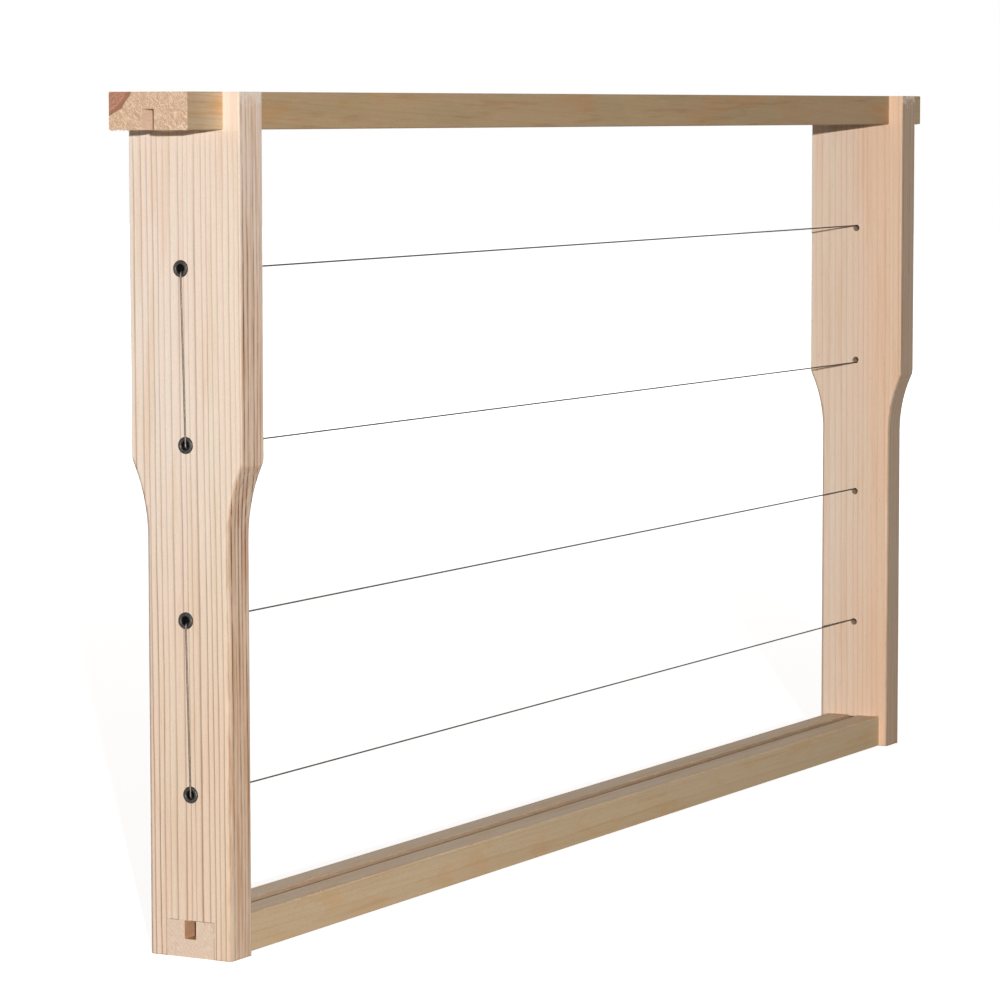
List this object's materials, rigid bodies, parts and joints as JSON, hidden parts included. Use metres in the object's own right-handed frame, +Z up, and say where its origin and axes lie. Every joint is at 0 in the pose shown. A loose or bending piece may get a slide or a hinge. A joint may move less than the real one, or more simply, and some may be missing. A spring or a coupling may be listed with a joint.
{
  "type": "wired beehive frame",
  "caption": "Wooden self-spacing beehive frame: grooved top and bottom bars, end bars wide above and narrow below, and taut steel wire strung through eyelets.",
  "frame": {"origin": "middle of the frame's foot, on the surface it stands on", "axes": "+X along the frame from the left end bar to the right one, +Y from front to back through its thickness, +Z up"},
  "size_m": [0.482, 0.035, 0.232],
  "materials": {
    "top_bar_wood": "planed, unfinished",
    "bottom_bar_wood": "planed, unfinished",
    "end_bar_wood": "planed, unfinished",
    "frame_wire_steel": "drawn, dull",
    "eyelet_steel": "dark, oxidised",
    "nail_steel": "plain"
  },
  "bodies": {
    "root": {"top_bar": "top_bar_wood", "bottom_bar": "bottom_bar_wood", "left_end_bar": "end_bar_wood", "right_end_bar": "end_bar_wood", "frame_wire": "frame_wire_steel", "left_eyelet_1": "eyelet_steel", "left_eyelet_2": "eyelet_steel", "left_eyelet_3": "eyelet_steel", "left_eyelet_4": "eyelet_steel", "right_eyelet_1": "eyelet_steel", "right_eyelet_2": "eyelet_steel", "right_eyelet_3": "eyelet_steel", "right_eyelet_4": "eyelet_steel", "left_top_nail_front": "nail_steel", "left_top_nail_back": "nail_steel", "left_bottom_nail_front": "nail_steel", "left_bottom_nail_back": "nail_steel", "right_top_nail_front": "nail_steel", "right_top_nail_back": "nail_steel", "right_bottom_nail_front": "nail_steel", "right_bottom_nail_back": "nail_steel", "upper_wire_tack": "nail_steel", "lower_wire_tack": "nail_steel"}
  },
  "joints": []
}
